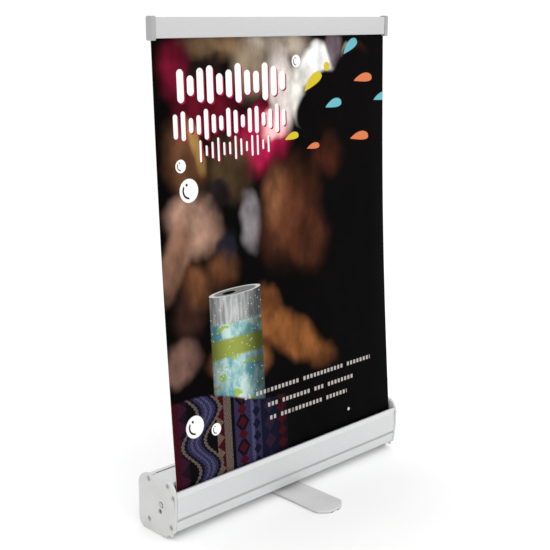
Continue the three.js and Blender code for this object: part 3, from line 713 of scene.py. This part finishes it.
MATERIALS = {
    "aluminium_profile": grooved_profile(),
    "pole_aluminium": drawn_metal("pole_aluminium", POLE_LIGHT, POLE_DARK, 0.36, "Z", 0.9).material,
    "cap_plastic": moulded_plastic("cap_plastic", (0.58, 0.58, 0.575), (0.54, 0.54, 0.535), 0.55),
    "dark_plastic": moulded_plastic("dark_plastic", (0.030, 0.030, 0.032), (0.018, 0.018, 0.020), 0.5),
    "foot_paint": powder_coat("foot_paint", (0.62, 0.62, 0.62), (0.57, 0.57, 0.57)),
    "steel": zinc("steel", (0.56, 0.56, 0.55), (0.42, 0.42, 0.42)),
    "spring_wire": zinc("spring_wire", (0.16, 0.16, 0.17), (0.09, 0.09, 0.10), 0.4),
    "pad_rubber": rubber("pad_rubber", (0.06, 0.058, 0.055), (0.02, 0.02, 0.021)),
    "print_face": printed_film(sheet_low.z),
    "plain_film": plain_film("plain_film", (0.66, 0.67, 0.67), (0.56, 0.57, 0.57)),
}

# ------------------------------------------------------------------ mesh helpers


def smooth_by_angle(degrees):
    """A modifier group that shades edges smooth below an angle, and sharp above it."""
    group = bpy.data.node_groups.new("smooth_by_angle", "GeometryNodeTree")
    for way in ("INPUT", "OUTPUT"):
        group.interface.new_socket("Geometry", in_out=way, socket_type="NodeSocketGeometry")
    start = group.nodes.new("NodeGroupInput")
    end = group.nodes.new("NodeGroupOutput")
    angle = group.nodes.new("GeometryNodeInputMeshEdgeAngle")
    sharp = group.nodes.new("FunctionNodeCompare")
    sharp.operation = "GREATER_THAN"
    sharp.inputs["B"].default_value = math.radians(degrees)
    group.links.new(angle.outputs["Unsigned Angle"], sharp.inputs["A"])
    faces = group.nodes.new("GeometryNodeSetShadeSmooth")
    faces.domain = "FACE"
    edges = group.nodes.new("GeometryNodeSetShadeSmooth")
    edges.domain = "EDGE"
    edges.inputs["Shade Smooth"].default_value = False
    group.links.new(start.outputs[0], faces.inputs["Geometry"])
    group.links.new(faces.outputs[0], edges.inputs["Geometry"])
    group.links.new(sharp.outputs["Result"], edges.inputs["Selection"])
    group.links.new(edges.outputs[0], end.inputs[0])
    return group


SMOOTH_UNDER = 28  # degrees between two facets
SMOOTHING = smooth_by_angle(SMOOTH_UNDER)
WELD_WITHIN = 0.002 * MM
LEVEL_WITHIN = 0.02 * MM  # how far a point may lie off a flat face
X_AXIS, Z_AXIS = 0, 2


def add_smoothing(piece):
    piece.modifiers.new("smooth", "NODES").node_group = SMOOTHING


def finish_cad_node(name, slot):
    """Welds and smooths a CAD node's facets and gives it its material."""
    node = nodes[name]
    for attribute in ("custom_normal", "sharp_edge", "sharp_face"):
        if attribute in node.data.attributes:
            node.data.attributes.remove(node.data.attributes[attribute])
    node.data.materials.clear()
    node.data.materials.append(MATERIALS[slot])
    node.modifiers.new("weld", "WELD").merge_threshold = WELD_WITHIN
    add_smoothing(node)


def face_loops(node, axis, at):
    """The outlines of a CAD node's flat face that lies at a place along an axis, each a ring of points.
    They are the edges that only one of the face's facets has."""
    mesh = nodes[node].data
    level = [v.index for v in mesh.vertices if abs(v.co[axis] - at) < LEVEL_WITHIN]
    key = {i: tuple(round(c / WELD_WITHIN) for c in mesh.vertices[i].co) for i in level}
    place = {key[i]: mesh.vertices[i].co.copy() for i in level}
    edges = set()
    for face in mesh.polygons:
        if all(i in key for i in face.vertices):
            ring = [key[i] for i in face.vertices]
            for a, b in zip(ring, ring[1:] + ring[:1]):
                if (b, a) in edges:
                    edges.remove((b, a))
                else:
                    edges.add((a, b))
    after = dict(sorted(edges))
    loops = []
    while after:
        start, point = after.popitem()
        ring = [start]
        while point != start:
            ring.append(point)
            point = after.pop(point)
        loops.append([place[k] for k in ring])
    return loops


def prism(name, loops, axis, start, end, edge):
    """A solid between two places along an axis, with the outlines of a flat face and rounded edges."""
    curve = bpy.data.curves.new(name, "CURVE")
    curve.dimensions = "2D"
    curve.fill_mode = "BOTH"
    curve.extrude = abs(end - start) / 2 - edge
    curve.bevel_depth = edge
    curve.bevel_resolution = 2
    curve.offset = -edge
    first, second = (axis + 1) % 3, (axis + 2) % 3
    for loop in loops:
        spline = curve.splines.new("POLY")
        spline.points.add(len(loop) - 1)
        spline.use_cyclic_u = True
        for point, co in zip(spline.points, loop):
            point.co = (co[first], co[second], 0, 1)
    holder = bpy.data.objects.new(name + "_outline", curve)
    scene.collection.objects.link(holder)
    bpy.context.view_layer.update()
    mesh = bpy.data.meshes.new_from_object(holder.evaluated_get(bpy.context.evaluated_depsgraph_get()))
    bpy.data.objects.remove(holder)
    stand_up = Matrix.Identity(4)
    for column, target in enumerate((first, second, axis)):
        for row in range(3):
            stand_up[row][column] = 1.0 if row == target else 0.0
    stand_up[axis][3] = (start + end) / 2
    mesh.transform(stand_up)
    mesh.materials.clear()
    return mesh


def merged(name, meshes):
    """One object from several meshes, with its doubled points welded."""
    kit = bmesh.new()
    for mesh in meshes:
        kit.from_mesh(mesh)
    bmesh.ops.remove_doubles(kit, verts=kit.verts, dist=WELD_WITHIN)
    bmesh.ops.recalc_face_normals(kit, faces=kit.faces)
    mesh = bpy.data.meshes.new(name)
    kit.to_mesh(mesh)
    kit.free()
    piece = bpy.data.objects.new(name, mesh)
    scene.collection.objects.link(piece)
    return piece


def dress(piece, body, slot, *replaced):
    """Gives a new piece its body and, unless it has one already, the material of a record slot, and hides the
    CAD nodes that it stands for.
    """
    if not piece.data.materials:
        piece.data.materials.append(MATERIALS[slot])
    add_smoothing(piece)
    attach(piece, body)
    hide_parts(*replaced)
    return piece


# ------------------------------------------------------------------ hard parts

SLOTS = {row["node"]: row["material_slot"] for row in frame["record"]["subparts"]}
for node_name, node_slot in SLOTS.items():
    finish_cad_node(node_name, node_slot)


def rounded_copy(name, node, axis, edge, body):
    """Rebuilds a CAD prism from the face at its upper end, with rounded edges."""
    low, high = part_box(node)
    mesh = prism(name, face_loops(node, axis, high[axis]), axis, low[axis], high[axis], edge)
    return dress(merged(name, [mesh]), body, SLOTS[node], node)


CAP_THICKNESS = 3 * MM
CAP_ROUND = 0.5 * MM
RIM_ROUND = 0.15 * MM
PIN_BOSS = 0.4 * MM  # a CAD cap's outermost face is a small boss, this far in front of the plate


def end_cap(word, side):
    """The plate of an end cap with a rounded edge, and the rim behind it."""
    node = f"{word}_end_cap"
    low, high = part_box(node)
    rim_end, boss = sorted((low.x, high.x), key=abs)
    face = boss - side * PIN_BOSS
    back = face - side * CAP_THICKNESS
    plate = prism("plate", face_loops(node, X_AXIS, face), X_AXIS, face, back, CAP_ROUND)
    rim = prism("rim", face_loops(node, X_AXIS, rim_end), X_AXIS, rim_end, back, RIM_ROUND)
    dress(merged(f"{word}_cap_moulding", [plate, rim]), "base", "cap_plastic", node)


RAIL_ROUND = 0.2 * MM
# The rail's tones are painted shade: the cassette's metal made darker, so that the rail, nearer the lamps,
# doesn't look brighter
RAIL_SHADED_LIGHT, RAIL_SHADED_DARK = (0.565, 0.565, 0.567), (0.515, 0.515, 0.517)
RAIL_CAP_LIGHT, RAIL_CAP_DARK = (0.37, 0.37, 0.37), (0.34, 0.34, 0.34)


def top_rail():
    """The rail and its caps, each a little darker than the cassette's metal and caps. The rail's darker metal
    is painted shade, which keeps it from looking brighter nearer the lamps.
    """
    profile = rounded_copy("rail_profile", "top_rail", X_AXIS, RAIL_ROUND, "rail")
    # Painted shade: the rail gets a darker copy of the drawn metal
    profile.data.materials[0] = drawn_metal("rail_metal_painted_shade", RAIL_SHADED_LIGHT, RAIL_SHADED_DARK, 0.52, "X").material
    plastic = moulded_plastic("rail_cap_plastic", RAIL_CAP_LIGHT, RAIL_CAP_DARK, 0.55)
    for word in ("left", "right"):
        nodes[f"{word}_rail_cap"].data.materials[0] = plastic


FOOT_ROUND = 0.6 * MM

end_cap("left", LEFT)
end_cap("right", RIGHT)
top_rail()
rounded_copy("foot_bar", "foot_plate", Z_AXIS, FOOT_ROUND, "foot")

# ------------------------------------------------------------------ printed sheet

SHEET_COLUMNS, SHEET_ROWS = 64, 96
PLAIN_ROWS = 4
FILM = 0.35 * MM  # its thickness
BOW = 1.9 * MM  # the film's memory of the roll bends it back by this much half way up
BOW_UNEVEN = 0.3  # share by which the bow differs from side to side
EDGE_CURL = 1.4 * MM
CURL_REACH = 26 * MM  # how far in from an edge it curls
RIPPLE = 0.25 * MM
RIPPLE_WAVE = 18  # radians from one side of the sheet to the other


def upright(at):
    """The two faces of film that stands up, from at(u, v) in its middle."""

    def skin(u, v, side):
        return at(u, v) + Vector((0, side * FILM / 2, 0))

    return skin


def film_strip(name, columns, rows, skin, front):
    """A thin closed sheet. skin(u, v, side) is a point of its front (side -1) or back (1),
    for u across and v along it, both from 0 to 1."""
    kit = bmesh.new()

    def row_of_points(j, side):
        return [kit.verts.new(skin(i / columns, j / rows, side)) for i in range(columns + 1)]

    near, far = ([row_of_points(j, side) for j in range(rows + 1)] for side in (-1, 1))
    for j in range(rows):
        for i in range(columns):
            face = kit.faces.new((near[j][i], near[j][i + 1], near[j + 1][i + 1], near[j + 1][i]))
            face.material_index = 1
            kit.faces.new((far[j][i], far[j + 1][i], far[j + 1][i + 1], far[j][i + 1]))
        kit.faces.new((near[j][0], near[j + 1][0], far[j + 1][0], far[j][0]))
        kit.faces.new((near[j][-1], far[j][-1], far[j + 1][-1], near[j + 1][-1]))
    for i in range(columns):
        kit.faces.new((near[0][i], far[0][i], far[0][i + 1], near[0][i + 1]))
        kit.faces.new((near[-1][i], near[-1][i + 1], far[-1][i + 1], far[-1][i]))
    bmesh.ops.recalc_face_normals(kit, faces=kit.faces)
    mesh = bpy.data.meshes.new(name)
    kit.to_mesh(mesh)
    kit.free()
    mesh.materials.append(MATERIALS["plain_film"])
    mesh.materials.append(front)
    piece = bpy.data.objects.new(name, mesh)
    scene.collection.objects.link(piece)
    return piece


def between(node):
    """A run of flat film between the lower and upper edges of a CAD strip, as at(u, v)."""
    low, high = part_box(node)
    leans_back = node != "banner_leader"
    foot_y, head_y = (low.y, high.y) if leans_back else (high.y, low.y)
    inside = FILM / 2 * (1 if leans_back else -1)

    def at(u, v):
        x = low.x + (high.x - low.x) * u
        y = (foot_y + inside) * (1 - v) + (head_y - inside) * v
        return Vector((x, y, low.z + (high.z - low.z) * v))

    return at


def sheet_point(u, v):
    """The banner: flat from the mouth to the rail, but for a slight bow, curled edges and a faint ripple."""
    flat = between("banner_sheet")(u, v)
    from_edge = (sheet_high.x - sheet_low.x) * min(u, 1 - u)
    held = math.sin(math.pi * v)  # 0 where the mouth and the rail hold the film, 1 half way
    bow = BOW * (1 + BOW_UNEVEN * math.sin(2 * u - 0.7))
    curl = EDGE_CURL * max(0.0, 1 - from_edge / CURL_REACH) ** 2
    ripple = RIPPLE * math.sin(RIPPLE_WAVE * u - 7) * (1 - 0.5 * v)
    return flat + Vector((0, (bow + curl + ripple) * held, 0))


def make_sheet(hem):
    front = MATERIALS["print_face"]
    sheet = film_strip("printed_sheet", SHEET_COLUMNS, SHEET_ROWS, upright(sheet_point), front)
    dress(sheet, "base", "print_face", "banner_sheet")
    rail_slide = next(joint for joint in frame["joints"] if joint["name"] == "rail_slide")
    travel = -min(rail_slide["range_m"])
    shown = sheet_high.z - sheet_low.z
    (shown - travel) / shown
    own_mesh(sheet)


def make_plain_film(name, node, body):
    """An unprinted run of the same film, in place of a CAD strip."""
    skin = upright(between(node))
    strip = film_strip(name, SHEET_COLUMNS, PLAIN_ROWS, skin, MATERIALS["plain_film"])
    return dress(strip, body, "plain_film", node)


def make_leader():
    """The run from the roller up to the mouth."""
    leader = make_plain_film("leader_film", "banner_leader", "base")


ROLL_TURNS = 3
ROLL_STEPS = 48  # round each turn
ROLL_COLUMNS = 2


def make_wound_film():
    """The film left on the roller, as a spiral of a few close turns."""
    low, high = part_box("wound_sheet")
    tube_low, tube_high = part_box("roller_tube")
    centre = (tube_low + tube_high) / 2
    inner = (tube_high.z - tube_low.z) / 2 + FILM
    outer = (high.z - low.z) / 2 - FILM

    def spiral(u, v, side):
        angle = 2 * math.pi * ROLL_TURNS * v + math.pi
        reach = inner + (outer - inner) * v + side * FILM / 2
        x = low.x + (high.x - low.x) * u
        return Vector((x, centre.y + reach * math.cos(angle), centre.z + reach * math.sin(angle)))

    roll = film_strip("wound_film", ROLL_COLUMNS, ROLL_TURNS * ROLL_STEPS, spiral, MATERIALS["plain_film"])
    dress(roll, "roller", "plain_film", "wound_sheet")


make_sheet(make_plain_film("hem_film", "banner_hem", "rail"))
make_leader()
make_wound_film()

# ------------------------------------------------------------------ stage

FLOOR_HALF = 60  # far enough for the floor to reach the horizon
SKY_STRENGTH = 1.09
LAMPS_AIM = Vector((0, 0, 0.2))


def make_floor():
    half = FLOOR_HALF
    corners = [(-half, -half, 0), (half, -half, 0), (half, half, 0), (-half, half, 0)]
    mesh = bpy.data.meshes.new("floor")
    mesh.from_pydata(corners, [], [(0, 1, 2, 3)])
    floor = bpy.data.objects.new("floor", mesh)
    scene.collection.objects.link(floor)
    paper = Finish("studio_paper", 0.9, 0.0, 0.05)
    paper.set("Base Color", (0.95, 0.95, 0.95))
    mesh.materials.append(paper.material)


def soft_box(name, at, size, power):
    """A square area light that looks at the middle of the stand."""
    data = bpy.data.lights.new(name, "AREA")
    data.energy = power
    data.size = size
    lamp = bpy.data.objects.new(name, data)
    scene.collection.objects.link(lamp)
    lamp.location = at
    lamp.rotation_euler = (LAMPS_AIM - Vector(at)).to_track_quat("-Z", "Y").to_euler()


def make_light():
    world = bpy.data.worlds.new("studio")
    world.use_nodes = True
    sky = world.node_tree.nodes["Background"]
    sky.inputs["Color"].default_value = (1, 1, 1, 1)
    sky.inputs["Strength"].default_value = SKY_STRENGTH
    scene.world = world
    soft_box("key", at=(-0.5, -1.6, 2.2), size=1.6, power=10)
    soft_box("fill", at=(1.6, -1.4, 1.4), size=2.0, power=6)


make_floor()
make_light()
scene.view_settings.view_transform = "Standard"
